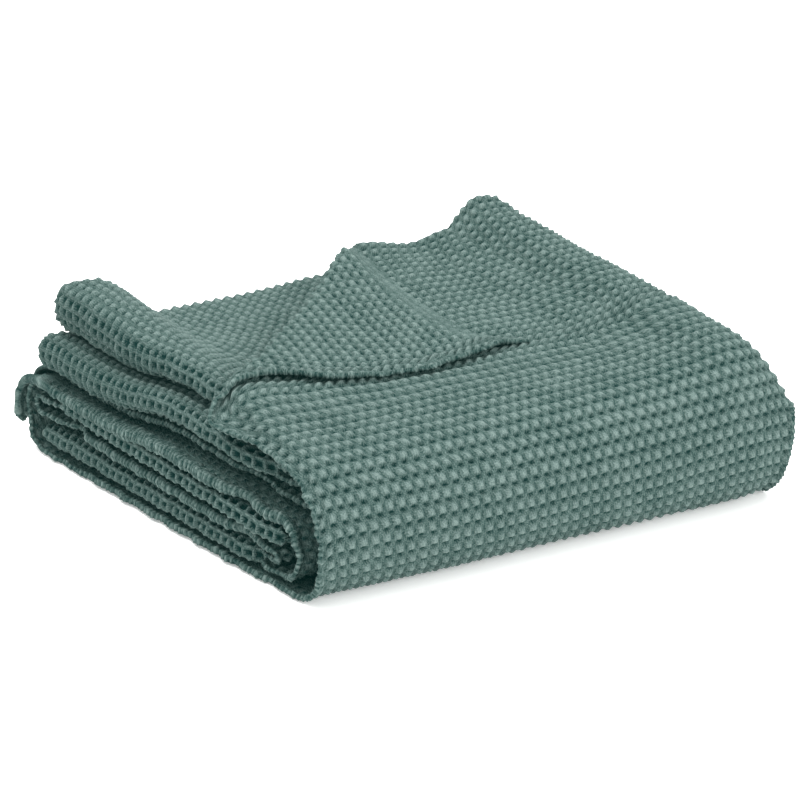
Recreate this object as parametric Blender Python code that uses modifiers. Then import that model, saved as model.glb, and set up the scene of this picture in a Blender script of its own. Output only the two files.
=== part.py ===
"""Folded waffle weave cotton blanket: one cloth laid back and forth, its top corner turned over."""

from collections import namedtuple
from math import cos, hypot, pi, sin

import bmesh
import bpy
from mathutils import Vector

CM = 0.01

# Driving sizes, in centimetres. u runs along the front, v from front to back, z up.
CLOTH = 0.50  # thickness of one layer
STACK = 11.15  # middle of the top layer above the surface it rests on
FLOOR = CLOTH / 2  # middle of the bottom layer, whose underside lies flat
LENGTH = 39.2  # along the front
SKEW = -0.09  # how far the left end runs outward for each centimetre towards the back
NOSE_STEPS = 3  # points round a small fold
LAYER_SPOTS = (4.4, 7.0, 10.5, 17.5, 24.0, 28.5)  # places of the points along every layer
STATIONS = (0.0, 0.013, 0.03, 0.06, 0.1, 0.15, 0.21, 0.28, 0.35, 0.42, 0.5,
            0.59, 0.68, 0.77, 0.845, 0.905, 0.96, 1.0)

# The layers in the order the cloth runs. Each goes from v = start to v = end at its level;
# bulge is how far the fold at its end reaches past it, left how far its left edge stands out
# from the skewed end, right where its right edge is, curl how far its left rim bends down.
# inset is how much further in the left edge is near the front; open and puff are the lift of
# the layer and the bend of its rim at the back left, where the rolls stand apart.
Layer = namedtuple("Layer", "name start end level bulge left inset right curl open puff")
LAYERS = (
    Layer("upper_roll_top", 4.8, 31.2, 10.20, 0.60, -0.6, 1.2, 36.2, 0.20, 0.40, 0.75),
    Layer("upper_roll_under", 31.2, 3.6, 9.30, 0.50, -0.6, 1.0, 36.4, -0.20, -1.10, -0.75),
    Layer("lower_roll_top", 3.6, 31.8, 8.35, 0.55, 0.1, 1.0, 36.8, 0.18, -1.35, 0.14),
    Layer("lower_roll_under", 31.8, 2.8, 7.40, 0.50, 0.1, 0.9, 37.2, -0.18, -1.20, -0.14),
    Layer("loose_upper", 2.8, 33.0, 6.45, 0.60, -1.1, -0.8, 37.6, 0.05, -0.62, 0.05),
    Layer("hem_band", 33.0, 3.2, 5.40, 2.05, 1.1, 1.1, 38.1, 0.70, -0.25, 0.60),
    Layer("low_pair_under", 3.2, 30.8, 1.08, 0.55, 0.2, 0.3, 38.3, -0.16, 0.00, -0.16),
    Layer("low_pair_top", 30.8, 4.0, 1.90, 0.50, 0.2, 0.5, 38.1, 0.16, 0.00, 0.16),
    Layer("tongue", 4.0, 32.0, 2.75, 0.60, 0.3, 0.5, 37.9, 0.00, 0.00, 0.00),
    Layer("middle_pair_under", 32.0, 3.6, 3.70, 0.50, 0.3, 0.6, 38.1, -0.18, 0.00, -0.18),
    Layer("middle_pair_top", 3.6, 33.0, 4.53, 2.30, 0.4, 0.7, 38.3, 0.18, 0.00, 0.18),
    Layer("bottom", 33.0, 2.0, FLOOR, 4.00, 0.5, 0.3, 38.6, 0.00, 0.00, 0.00),
    Layer("top", 2.0, 32.7, STACK, 0.00, 0.1, 0.0, LENGTH, 0.90, 0.00, 0.90),
)
UPPER_LAYERS = 4  # how many of them make the two upper rolls
RIM_WIDTH = 1.3  # width of the bent rim

# Height of the stack as a share of its level, at places along the front (rows) and back.
Swell = namedtuple("Swell", "u front shoulder near middle far back")
SWELL_AT = Swell(0, -2.0, 4.0, 10.0, 20.0, 30.0, 34.0)
SWELLS = (
    Swell(-3.0, 0.80, 0.94, 1.13, 1.21, 1.32, 1.32),
    Swell(0.5, 0.80, 0.94, 1.12, 1.19, 1.30, 1.29),
    Swell(5.0, 0.81, 0.93, 1.05, 1.05, 1.03, 0.99),
    Swell(12.0, 0.83, 0.94, 1.01, 1.01, 1.03, 1.01),
    Swell(20.0, 0.86, 0.95, 0.99, 1.00, 1.05, 1.05),
    Swell(24.0, 0.89, 0.96, 0.99, 1.00, 1.05, 1.09),
    Swell(28.0, 0.92, 0.98, 0.99, 0.99, 1.03, 1.04),
    Swell(31.0, 0.97, 1.03, 1.05, 1.06, 1.09, 1.11),
    Swell(34.3, 1.02, 1.12, 1.16, 1.19, 1.25, 1.32),
    Swell(39.2, 1.02, 1.12, 1.16, 1.18, 1.21, 1.24),
)

# How far the folds stand out past their layers, at places along the front.
Reach = namedtuple("Reach", "u front back upper_back droop")
REACHES = (
    Reach(-3.0, 0.0, 0.4, 1.0, 1.0),
    Reach(2.0, 0.1, 0.3, 0.8, 1.0),
    Reach(6.0, 0.3, -0.2, -0.1, 0.5),
    Reach(12.0, 0.5, 0.2, -0.2, 0.0),
    Reach(20.0, 0.5, 0.4, 0.0, 0.0),
    Reach(28.0, 0.7, 0.0, 0.6, 0.0),
    Reach(35.0, 0.9, 0.3, 1.0, 0.0),
    Reach(39.2, 0.3, -0.1, 0.7, 0.0),
)

# Rounding of the top layer over the right end.
ROUND_START = 35.1
ROUND_DROP = 5.2

# The loose fold at the back: where it starts to bend, and its bend.
LOOSE = (4, 5)
LOOSE_LEVEL = 5.85
LOOSE_SINK = 0.3
HANG_FROM = 31.0
HANG_TO = 33.0
HANG_FLAT = 2.5
HANG_RADIUS = 3.45
HANG_GAIN = 3.45
HANG_ROWS = (31.0, 31.7, 32.3)

# Turned-over corner of the top layer: the fold line, its rise and the lift of its loose hem.
CORNER_FROM = (-0.8, 9.0)
CORNER_TO = (23.8, 32.3)
CORNER_RADIUS = 0.42
CORNER_TURNS = 3
CORNER_WELD = 0.1
HEM_LIFT = 0.5
HEM_WAVE = 0.8
CORNER_PUFF = 0.55


def ease(t):
    """Smooth step from 0 to 1."""
    t = min(max(t, 0.0), 1.0)
    return t * t * (3.0 - 2.0 * t)


def along(table, key, at):
    """Value of one column of a table at a place along the front, eased between rows."""
    if at <= table[0].u:
        return getattr(table[0], key)
    for low, high in zip(table, table[1:]):
        if at <= high.u:
            t = ease((at - low.u) / (high.u - low.u))
            return getattr(low, key) * (1 - t) + getattr(high, key) * t
    return getattr(table[-1], key)


def swell(u, v):
    """Share of the stack's nominal height at a place seen from above."""
    keys = Swell._fields[1:]
    spots = [getattr(SWELL_AT, key) for key in keys]
    shares = [along(SWELLS, key, u) for key in keys]
    if v <= spots[0]:
        return shares[0]
    for i in range(len(spots) - 1):
        if v <= spots[i + 1]:
            t = ease((v - spots[i]) / (spots[i + 1] - spots[i]))
            return shares[i] * (1 - t) + shares[i + 1] * t
    return shares[-1]


def fold_points(layer, following):
    """Points round the fold from the end of one layer to the start of the next."""
    side = 1.0 if layer.end > layer.start else -1.0
    middle = (layer.level + following.level) / 2
    half = (layer.level - following.level) / 2
    count = NOSE_STEPS + (3 if abs(half) > 2.0 else 0) + (3 if abs(half) > 4.0 else 0)
    points = []
    for i in range(1, count + 1):
        turn = pi * i / (count + 1)
        points.append((layer.end + side * layer.bulge * sin(turn) ** 0.8, middle + half * cos(turn)))
    return points


Row = namedtuple("Row", "v level layer fold place")


def section():
    """Rows of the cloth from its hidden end to its outer hem, with their place along its length."""
    rows = []
    for index, layer in enumerate(LAYERS):
        low, high = min(layer.start, layer.end), max(layer.start, layer.end)
        extra = HANG_ROWS if index in LOOSE else ()
        spots = [v for v in LAYER_SPOTS + extra if low + 0.6 < v < high - 0.4]
        spots = sorted([low, high] + spots, reverse=layer.end < layer.start)
        rows += [Row(v, layer.level, index, 0.0, 0.0) for v in spots]
        if index + 1 < len(LAYERS):
            points = fold_points(layer, LAYERS[index + 1])
            for i, (v, level) in enumerate(points):
                rows.append(Row(v, level, index, (i + 1) / (len(points) + 1), 0.0))
    placed_rows = [rows[0]]
    for row in rows[1:]:
        last = placed_rows[-1]
        step = hypot(row.v - last.v, row.level - last.level)
        placed_rows.append(row._replace(place=last.place + step))
    return placed_rows


def mixed(row, key):
    """A layer's column, eased to the next layer's round the fold between them."""
    value = getattr(LAYERS[row.layer], key)
    if row.fold > 0.0:
        value += (getattr(LAYERS[row.layer + 1], key) - value) * ease(row.fold)
    return value


def edges(row):
    """Where the left and right edges of a row are along the front."""
    inset = mixed(row, "inset") * ease((9.0 - row.v) / 6.0)
    return SKEW * max(row.v, 0.0) - mixed(row, "left") + inset, mixed(row, "right")


def hung(row, u, z):
    """At the back left the loose fold is longer and hangs down round the fold below it."""
    last = row.layer == LOOSE[-1] and row.fold > 0.0
    if row.layer not in LOOSE or row.v <= HANG_FROM or last:
        return row.v, z
    longer = 1.0 + HANG_GAIN * along(REACHES, "droop", u)
    run = (min(row.v, HANG_TO) - HANG_FROM) * longer + max(row.v - HANG_TO, 0.0)
    middle = FLOOR + (LOOSE_LEVEL - FLOOR) * swell(u, row.v) - LOOSE_SINK * back_left(u, row.v)
    turn = min(max(run - HANG_FLAT, 0.0) / HANG_RADIUS, pi / 2)
    fall = max(run - HANG_FLAT - HANG_RADIUS * pi / 2, 0.0)
    radius = HANG_RADIUS + z - middle
    return (HANG_FROM + min(run, HANG_FLAT) + radius * sin(turn),
            middle - HANG_RADIUS + radius * cos(turn) - fall)


def back_left(u, v):
    """1 at the back left corner, where the rolls stand apart, and 0 away from it."""
    return ease((v - 14.0) / 14.0) * ease((6.0 - u) / 6.0)


def rim(row, u):
    """How far the left rim of a layer bends down."""
    apart = back_left(0.0, row.v)
    curl = mixed(row, "curl") * (1 - apart) + mixed(row, "puff") * apart
    curl *= ease(1.0 - (u - edges(row)[0]) / RIM_WIDTH)
    if row.layer == len(LAYERS) - 1:
        return curl * ease((12.0 - row.v) / 3.0)
    return curl * ease((row.v - 3.5) / 4.0) * ease((32.5 - row.v) / 3.0)


def placed(row, u):
    """Where a point of the cloth lies, before the top corner is turned over."""
    z = FLOOR + (row.level - FLOOR) * swell(u, row.v) + mixed(row, "open") * back_left(u, row.v)
    if u > ROUND_START:
        far = min((u - ROUND_START) / (LENGTH - ROUND_START), 1.0)
        z -= ROUND_DROP * (1 - (1 - far * far) ** 0.5) * (row.level / STACK) ** 3
    v, z = hung(row, u, z)
    back = "upper_back" if row.layer < UPPER_LAYERS else "back"
    v -= along(REACHES, "front", u) * ease((10.0 - row.v) / 10.0)
    v += along(REACHES, back, u) * ease((row.v - 20.0) / 10.0)
    return v, z - rim(row, u)


def flat_cloth(rows):
    """The cloth laid flat: x is the place along the front, y the place along its length."""
    mesh = bmesh.new()
    bmesh.ops.create_grid(mesh, x_segments=len(STATIONS) - 1, y_segments=len(rows) - 1, size=0.5)
    for vert in mesh.verts:
        station = round((vert.co.x + 0.5) * (len(STATIONS) - 1))
        row = rows[round((vert.co.y + 0.5) * (len(rows) - 1))]
        left, right = edges(row)
        vert.co = (left + (right - left) * STATIONS[station], row.place, 0.0)
    return mesh


def row_at(rows, place):
    """The row at a place along the cloth, between two rows if need be."""
    low = max(i for i, row in enumerate(rows[:-1]) if row.place <= place + 1e-4)
    a, b = rows[low], rows[low + 1]
    t = min(max((place - a.place) / (b.place - a.place), 0.0), 1.0)
    if t < 1e-3:
        return a
    if t > 1 - 1e-3:
        return b
    return a._replace(v=a.v + (b.v - a.v) * t, level=a.level + (b.level - a.level) * t)


def corner_frame():
    """Start, direction and outward normal of the line the corner turns over on."""
    dx, dy = CORNER_TO[0] - CORNER_FROM[0], CORNER_TO[1] - CORNER_FROM[1]
    size = hypot(dx, dy)
    return CORNER_FROM, (dx / size, dy / size), (-dy / size, dx / size)


def cut_corner_lines(mesh, first):
    """Edges along the turned-over corner's fold line, so that it bends in clean creases."""
    start, _, out = corner_frame()
    for i in range(CORNER_TURNS + 1):
        gap = pi * CORNER_RADIUS * i / CORNER_TURNS
        faces = [f for f in mesh.faces if min(v.co.y for v in f.verts) >= first.place - 1e-3]
        edges_of = {e for f in faces for e in f.edges}
        verts_of = {v for f in faces for v in f.verts}
        bmesh.ops.bisect_plane(
            mesh,
            geom=faces + list(edges_of) + list(verts_of),
            dist=1e-4,
            plane_co=(start[0] + out[0] * gap, first.place - first.v + start[1] + out[1] * gap, 0.0),
            plane_no=(out[0], out[1], 0.0),
        )


def turned_over(u, v):
    """The place of a point of the top layer once its corner is over: (u, v, rise)."""
    start, line, out = corner_frame()
    du, dv = u - start[0], v - start[1]
    past = du * out[0] + dv * out[1]
    if past <= 0.0:
        return u, v, 0.0
    run = du * line[0] + dv * line[1]
    bend = pi * CORNER_RADIUS
    if past < bend:
        turn = past / CORNER_RADIUS
        away, rise = CORNER_RADIUS * sin(turn), CORNER_RADIUS * (1 - cos(turn))
    else:
        away, rise = bend - past, 2 * CORNER_RADIUS
    wave = 1.0 + HEM_WAVE * cos(2 * pi * (v - 15.5) / 17.0) * ease((v - 11.0) / 3.0)
    lift = HEM_LIFT * wave * ease((past - bend) / 3.0) * ease(1.0 - (u + 3.0) / 5.0)
    puff = CORNER_PUFF * ease((run - 22.0) / 8.0) * ease(past / bend) * ease((6.0 - past) / 4.0)
    return (start[0] + line[0] * run + out[0] * away, start[1] + line[1] * run + out[1] * away,
            rise + lift + puff)


def fold_up(mesh, rows, first):
    """Lay the flat cloth in its folds."""
    for vert in mesh.verts:
        u, place = vert.co.x, vert.co.y
        row = row_at(rows, place)
        v, z = placed(row, u)
        if place >= first.place:
            over_u, over_v, rise = turned_over(u, row.v)
            if rise > 0.0:
                v, z = placed(row._replace(v=over_v), over_u)
                u, z = over_u, z + rise
        vert.co = (u * CM, v * CM, z * CM)


def rest_in_frame(mesh):
    """Centre the cloth over the origin; its bent-over right end stands out by half a layer."""
    xs = [vert.co.x for vert in mesh.verts]
    ys = [vert.co.y for vert in mesh.verts]
    middle = Vector(((min(xs) + max(xs) + CLOTH / 2 * CM) / 2, (min(ys) + max(ys)) / 2, 0.0))
    bmesh.ops.translate(mesh, verts=mesh.verts, vec=-middle)


def cotton():
    material = bpy.data.materials.new("waffle_cotton")
    material.use_nodes = True
    shader = material.node_tree.nodes["Principled BSDF"]
    shader.inputs["Base Color"].default_value = (0.13, 0.20, 0.185, 1.0)
    shader.inputs["Roughness"].default_value = 0.9
    return material


def blanket(collection):
    """The whole cloth: one sheet with its hems, folded, then given its thickness."""
    rows = section()
    first = next(row for row in rows if row.layer == len(LAYERS) - 1)
    mesh = flat_cloth(rows)
    cut_corner_lines(mesh, first)
    bmesh.ops.remove_doubles(mesh, verts=mesh.verts, dist=CORNER_WELD)
    bmesh.ops.triangulate(mesh, faces=mesh.faces)
    fold_up(mesh, rows, first)
    rest_in_frame(mesh)
    bmesh.ops.recalc_face_normals(mesh, faces=mesh.faces)
    data = bpy.data.meshes.new("blanket")
    mesh.to_mesh(data)
    mesh.free()
    data.materials.append(cotton())
    cloth = bpy.data.objects.new("blanket", data)
    collection.objects.link(cloth)
    body = cloth.modifiers.new("Thickness", "SOLIDIFY")
    body.thickness = CLOTH * CM
    body.offset = 0.0
    body.use_even_offset = True
    body.use_rim = True
    return cloth


def main():
    for item in list(bpy.data.objects):
        bpy.data.objects.remove(item, do_unlink=True)
    collection = bpy.data.collections.new("waffle_weave_blanket")
    bpy.context.scene.collection.children.link(collection)
    blanket(collection)


main()
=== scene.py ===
"""Folded waffle weave cotton blanket: the cloth in its folds, with its weave raised and its hems."""

from collections import namedtuple
from math import cos, hypot, pi, radians, sin

import bmesh
import bpy
import numpy as np
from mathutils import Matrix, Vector


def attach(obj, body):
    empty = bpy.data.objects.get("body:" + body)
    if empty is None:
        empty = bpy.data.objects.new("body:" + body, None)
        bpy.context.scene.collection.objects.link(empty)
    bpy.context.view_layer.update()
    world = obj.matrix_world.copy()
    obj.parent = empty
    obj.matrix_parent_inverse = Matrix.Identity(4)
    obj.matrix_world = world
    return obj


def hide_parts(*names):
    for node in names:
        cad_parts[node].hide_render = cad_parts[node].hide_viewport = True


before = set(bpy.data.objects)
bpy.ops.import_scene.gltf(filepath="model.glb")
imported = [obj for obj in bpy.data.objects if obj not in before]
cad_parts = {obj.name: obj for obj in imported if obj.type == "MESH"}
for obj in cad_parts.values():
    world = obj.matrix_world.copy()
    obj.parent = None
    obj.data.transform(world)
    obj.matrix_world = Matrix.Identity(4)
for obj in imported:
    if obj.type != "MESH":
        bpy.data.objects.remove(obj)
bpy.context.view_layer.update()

CM = 0.01

# ---- Folds, in centimetres: u runs along the front, v from front to back, z up ----
CLOTH = 0.50  # thickness of one layer of the solid
STACK = 11.15  # middle of the top layer above the floor
FLOOR = CLOTH / 2  # middle of the bottom layer
LENGTH = 39.2  # along the front
SKEW = -0.09  # how far the left end runs outward for each centimetre towards the back

# The layers in the order the cloth runs. Each goes from v = start to v = end at its level;
# bulge is how far the fold at its end reaches past it, left how far its left edge stands out
# from the skewed end, right where its right edge is, curl how far its left rim bends down.
# inset is how much further in the left edge is near the front; open and puff are the lift of
# the layer and the bend of its rim at the back left, where the rolls stand apart. hem is the
# width of the smooth band along its left edge, and 0 where that edge is a fold.
Layer = namedtuple("Layer", "name start end level bulge left inset right curl open puff hem")
LAYERS = (
    Layer("upper_roll_top", 4.8, 31.2, 10.20, 1.10, -1.2, 1.4, 36.2, 0.20, 0.40, 0.75, 0.0),
    Layer("upper_roll_under", 31.2, 3.6, 9.30, 0.50, -1.2, 1.6, 36.4, -0.20, -2.00, -0.75, 0.0),
    Layer("lower_roll_top", 3.6, 31.8, 8.35, 0.80, 0.1, 2.4, 36.8, 0.18, -1.30, 0.30, 0.0),
    Layer("lower_roll_under", 31.8, 2.8, 7.40, 0.50, 0.1, 2.4, 37.2, -0.18, -2.35, -0.30, 0.0),
    Layer("loose_upper", 2.8, 33.0, 6.45, 0.60, -0.45, 1.3, 37.6, 0.05, -1.65, 0.05, 0.35),
    Layer("hem_band", 33.0, 3.2, 5.50, 2.05, 1.1, 1.1, 38.1, 0.30, -1.00, 0.35, 1.5),
    Layer("low_pair_under", 3.2, 32.6, 1.08, 0.75, 0.2, 0.3, 38.3, -0.16, 0.00, -0.16, 0.0),
    Layer("low_pair_top", 32.6, 4.0, 1.90, 0.50, 0.2, 0.5, 38.1, 0.16, 0.00, 0.16, 0.0),
    Layer("tongue", 4.0, 33.3, 2.75, 0.80, 0.6, 0.5, 37.9, 0.00, 0.00, 0.00, 0.6),
    Layer("middle_pair_under", 33.3, 3.6, 3.70, 0.50, 0.7, 0.6, 38.1, -0.18, 0.00, -0.18, 0.0),
    Layer("middle_pair_top", 3.6, 33.0, 4.53, 2.30, 0.7, 0.7, 38.3, 0.18, 0.00, 0.18, 0.0),
    Layer("bottom", 33.0, 2.0, FLOOR, 4.00, 0.5, 0.3, 38.6, 0.00, 0.00, 0.00, 0.45),
    Layer("top", 2.0, 32.7, STACK, 0.00, 0.1, 0.0, LENGTH, 0.90, 0.00, 0.90, 0.3),
)
ORDER = {layer.name: index for index, layer in enumerate(LAYERS)}
UPPER_LAYERS = 4  # how many of them make the two upper rolls
RIM_WIDTH = 1.3  # width of the bent rim
FOLDED_CURL = 0.35  # share of the bend that a rim keeps where the left edge is a fold

# Height of the stack as a share of its level, at places along the front (rows) and back.
Swell = namedtuple("Swell", "u front shoulder near middle far back")
SWELL_AT = Swell(0, -2.0, 4.0, 10.0, 20.0, 30.0, 34.0)
SWELLS = (
    Swell(-3.0, 0.80, 0.94, 1.13, 1.21, 1.32, 1.32),
    Swell(0.5, 0.80, 0.94, 1.12, 1.19, 1.30, 1.29),
    Swell(5.0, 0.81, 0.93, 1.05, 1.05, 1.03, 0.99),
    Swell(12.0, 0.83, 0.94, 1.01, 1.01, 1.03, 1.01),
    Swell(20.0, 0.86, 0.95, 0.99, 1.00, 1.05, 1.05),
    Swell(24.0, 0.89, 0.96, 0.99, 1.00, 1.06, 1.13),
    Swell(28.0, 0.92, 0.98, 0.99, 0.99, 1.03, 1.06),
    Swell(31.0, 0.97, 1.03, 1.05, 1.06, 1.09, 1.11),
    Swell(34.3, 1.02, 1.12, 1.16, 1.19, 1.25, 1.32),
    Swell(39.2, 1.02, 1.12, 1.16, 1.18, 1.21, 1.24),
)

# How far the folds stand out past their layers, at places along the front.
Reach = namedtuple("Reach", "u front back upper_back droop")
REACHES = (
    Reach(-3.0, 0.0, 0.4, 1.0, 1.0),
    Reach(2.0, 0.1, 0.3, 0.8, 1.0),
    Reach(6.0, 0.3, -0.2, -0.1, 0.5),
    Reach(12.0, 0.5, 0.2, -0.2, 0.0),
    Reach(20.0, 0.5, 0.4, 0.0, 0.0),
    Reach(28.0, 0.7, 0.0, 0.6, 0.0),
    Reach(35.0, 0.9, 0.3, 1.0, 0.0),
    Reach(39.2, 0.3, -0.1, 0.7, 0.0),
)

ROUND_START = 35.1  # where the upper layers start to round over at the right end
ROUND_DROP = 5.2  # how far the top layer drops there

# The loose fold at the back, which is longer at the left and hangs down there.
LOOSE = (ORDER["loose_upper"], ORDER["hem_band"])
LOOSE_LEVEL = 5.85  # between its two layers
LOOSE_SINK = 0.3  # how far it sinks at the left
HANG_FROM = 31.0  # its slack cloth lies between these two places
HANG_TO = 33.0
HANG_GAIN = 3.45  # how much longer than flat that stretch is
HANG_FLAT = 2.5  # how far it runs on before it bends
HANG_RADIUS = 3.45  # of the bend
HANG_OUT = 0.45  # how far it stands out to the left

# The turned-over corner of the top layer.
CORNER_FROM = (-0.8, 9.0)  # ends of the line it turns over on
CORNER_TO = (23.8, 32.3)
CORNER_RADIUS = (0.36, 0.74)  # of its fold, near the front and near the back
CORNER_RUN = 24.0  # from the one radius to the other, along the fold
CORNER_SETTLES = 0.45  # share of its height that it loses away from its fold
CORNER_PUFF = 0.45  # how far its fold puffs up near the back
EAR = (1.5, 0.8)  # how far the left edge stands out and sinks where the corner turns over
EAR_AT = 8.6  # where that is, from front to back
HEM_NEAR = (2.0, -3.0)  # from where, along the front, its cloth goes with its front hem
HEM_LIFT = 0.22  # how far that hem stands up off the cloth below it
HEM_WAVE = 0.8  # how much this differs along it
HEM_CREST = 15.5  # where it stands up most, and how far it is to the next such place
HEM_WAVE_RUN = 17.0
HEM_BACK = 0.6  # how far it is drawn back
HEM_DRAWN = (1.1, 1.8)  # how much further it is drawn back in the middle: right and back
HEM_DRAWN_AT = 13.6  # where that is, from front to back
END_PRESSED = 0.6  # how far the corner is pressed flat along its far hem
END_SOFT = 2.2  # width of the pressed cloth
TIP_SHIFT = (2.9, 2.6)  # how far its tip is drawn out: right and back
TIP_REACH = 7.5  # from how far away

# ---- Weave and hems, in centimetres ----
PITCH = 0.875  # from puff to puff along a row
ROW = 1.08  # from row to row: each puff stands above a pit, with ribs between the columns
TIGHTER = 1.25  # how much closer the rows are in the layers inside
RIB_LEVEL = 0.26  # height of those ribs, from 0 at the bottom of a pit to 1 on a puff
RIB_RISE = 0.30  # how much higher they are beside the pits
RUNG_RISE = 0.35  # and how much higher again on a closed fold
PIT_LEAN = 0.4  # how far a pit lies up against the puff above it
DEPTH = 0.42  # from the top of a puff to the bottom of a pit
MEAN = 0.55  # mean height of the weave
UNEVEN = 0.25  # how far the puffs wander
WANDER_STEPS = 0.55  # for each centimetre: how quickly this changes along the cloth
PUFF_STEPS = 1.1  # the same for the height of the puffs
BLOT_STEPS = 2.0  # the same for the uneven ribs of the hems
CORD = 0.50  # from turn to turn of the cord-like ribs across a hem
CORD_DEPTH = 0.15  # height of those ribs
CORD_SLANT = 0.45  # how far they run along the hem for each centimetre across it
FINE = 0.112  # size of a face where the weave is raised
TILE = 8  # faces along the side of a wide face, where the weave is only in the material
HEM_RADIUS = 0.36  # of a wide hem's rounded edge
HEM_FADE = 0.15  # how far it goes over into the weave, to each side of its border
NARROW_HEM = 0.4  # width of the hem along the right edges
LEAST_HEM = 0.3  # width of the narrowest hem along the left edges
END_HEM = 3.2  # width of the soft band along the far side of the turned-over corner
END_SOFTER = 0.65  # how far the weave is smoothed away there
CLEAR = 0.31  # how far above the floor the lowest cloth has its middle
SIDE = 3.2  # width of the raised weave along the left edges
RIGHT_SIDE = 1.4  # the same along the right edges
BACK_FROM = 31.0  # past here it is raised from end to end
FADE = 0.8  # how far on it goes over into the material's weave
FOLD_TURNS = 12  # faces round the closed left side of a pair of layers
FOLD_BULGE = 0.95  # how far that side bulges, as a share of half the pair's thickness
FOLD_INSET = 0.35  # how much further in the pair's layers end, to make room for it
FOLD_DEEPER = 0.45  # how much deeper its pits are
FOLD_DEEP = (1.9, 1.0)  # how far from its middle they start to be deeper, and are deepest
LADDER_SHADE = 0.45  # how much darker they are painted: painted shade in the pits of a closed fold
PLUMP = 0.18  # how far the closed pairs swell past the middle of their layers
SKIN = 0.08  # the same for the outer stretch of the cloth
PAIR_FRONT = 4.8  # where the pairs of layers begin, near the front and near the back
PAIR_BACK = 31.0
TUCKED = 2.2  # how far the open hems run on inside a pair
TUCKED_IN = (0.7, 0.9)  # how far the left edges draw in there: of open hems, of closed folds
ASKEW = 1.4  # how far the columns of the outer stretch are pulled to the side
ASKEW_RUN = 60.0  # from one such pull to the next, along the cloth
PULLED = (0.43, 0.3)  # how far the weave of the turned-over corner is pulled out of line
MIDDLE_U, MIDDLE_V = 17.69, 17.454  # the frame's origin

# ---- View and light ----
VIEW_TURN = -31.0  # degrees round the blanket, from the front towards its left end
VIEW_RISE = 20.7  # degrees above the floor
VIEW_FAR = 2.4  # metres
VIEW_AIM = Vector((0.0, 0.0, 0.06))
VIEW_LENS = 146.9  # millimetres
VIEW_SHIFT = (0.0029, -0.0058)
SIDE_LIGHT = 0.6  # of the room round the blanket
SKY_LIGHT = 1.2  # how much more comes from above
LAMPS = (
    ("key_light", (-0.7, 0.2, 2.6), 1.6, 55.0),  # name, place, size in metres and watts
    ("front_light", (0.8, -2.4, 1.2), 1.6, 38.0),
)


def ease(t):
    """Smooth step from 0 to 1."""
    t = np.clip(t, 0.0, 1.0)
    return t * t * (3.0 - 2.0 * t)


def rising(value, start, end):
    """Smooth step from 0 where a value is at the start to 1 where it is at the end."""
    return ease((value - start) / (end - start))


def between(at, spots, values):
    """Values at places, eased from one spot to the next; a value may itself be an array."""
    result = values[0] + 0.0 * at
    for low, high, spot, following in zip(values, values[1:], spots, spots[1:]):
        result = result + (high - low) * rising(at, spot, following)
    return result


def along(table, key, u):
    """One column of a table at places along the front."""
    return between(u, [row.u for row in table], [getattr(row, key) for row in table])


def swell(u, v):
    """Share of the stack's nominal height at places seen from above."""
    keys = Swell._fields[1:]
    shares = [along(SWELLS, key, u) for key in keys]
    return between(v, [getattr(SWELL_AT, key) for key in keys], shares)


class Rows:
    """Rows of the cloth across its layers: v, level, layer and fold, one value for each row."""

    def __init__(self, v, level, layer, fold):
        self.v, self.level = np.asarray(v, float), np.asarray(level, float)
        self.layer, self.fold = np.asarray(layer), np.asarray(fold, float)

    def mixed(self, key):
        """A layer's column, eased to the next layer's round the fold between them."""
        column = np.array([getattr(layer, key) for layer in LAYERS] + [0.0])
        here = column[self.layer]
        return here + (column[self.layer + 1] - here) * ease(self.fold)

    def left_edge(self, v):
        """Where the left edge is along the front, at places from front to back."""
        inset = self.mixed("inset")[:, None] * rising(v, 9.0, 3.0)
        level = self.level[:, None]
        # The edge wanders a little, and in each layer in its own way.
        wander = 0.07 * np.sin(v * 1.9 + 1.7 * level) + 0.05 * np.sin(v * 3.3 + 2.9 * level)
        return SKEW * np.maximum(v, 0.0) - self.mixed("left")[:, None] + inset + wander

    def then(self, other):
        """These rows and the other ones after them."""
        return Rows(*(np.concatenate((getattr(self, key), getattr(other, key)))
                      for key in ("v", "level", "layer", "fold")))


def flat_rows(name, start=None, end=None):
    """Rows over one layer, from its start to its end or over a part of it."""
    layer = LAYERS[ORDER[name]]
    start = layer.start if start is None else start
    end = layer.end if end is None else end
    v = np.linspace(start, end, max(round(abs(end - start) / FINE), 2) + 1)
    return Rows(v, np.full(v.shape, layer.level), np.full(v.shape, ORDER[name]), np.zeros(v.shape))


def fold_rows(name, first=0.0, last=1.0):
    """Rows round the fold after a layer, from one share of its turn up to another; ends left out
    where the layers have them."""
    index = ORDER[name]
    layer, following = LAYERS[index], LAYERS[index + 1]
    side = 1.0 if layer.end > layer.start else -1.0
    middle, half = (layer.level + following.level) / 2, (layer.level - following.level) / 2
    long = pi * (abs(half) + layer.bulge) / 2 * abs(last - first)
    share = np.linspace(first, last, max(round(long / FINE), 5) + 1)[1:]
    share = share[(share > 0.001) & (share < 0.999)]
    # A little fuller than half an ellipse.
    v = layer.end + side * layer.bulge * np.sin(pi * share) ** 0.8
    level = middle + half * np.cos(pi * share)
    return Rows(v, level, np.full(v.shape, index), share)


def back_left(u, v):
    """1 at the back left corner, where the rolls stand apart, and 0 away from it."""
    return rising(v, 14.0, 28.0) * rising(u, 6.0, 0.0)


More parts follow.
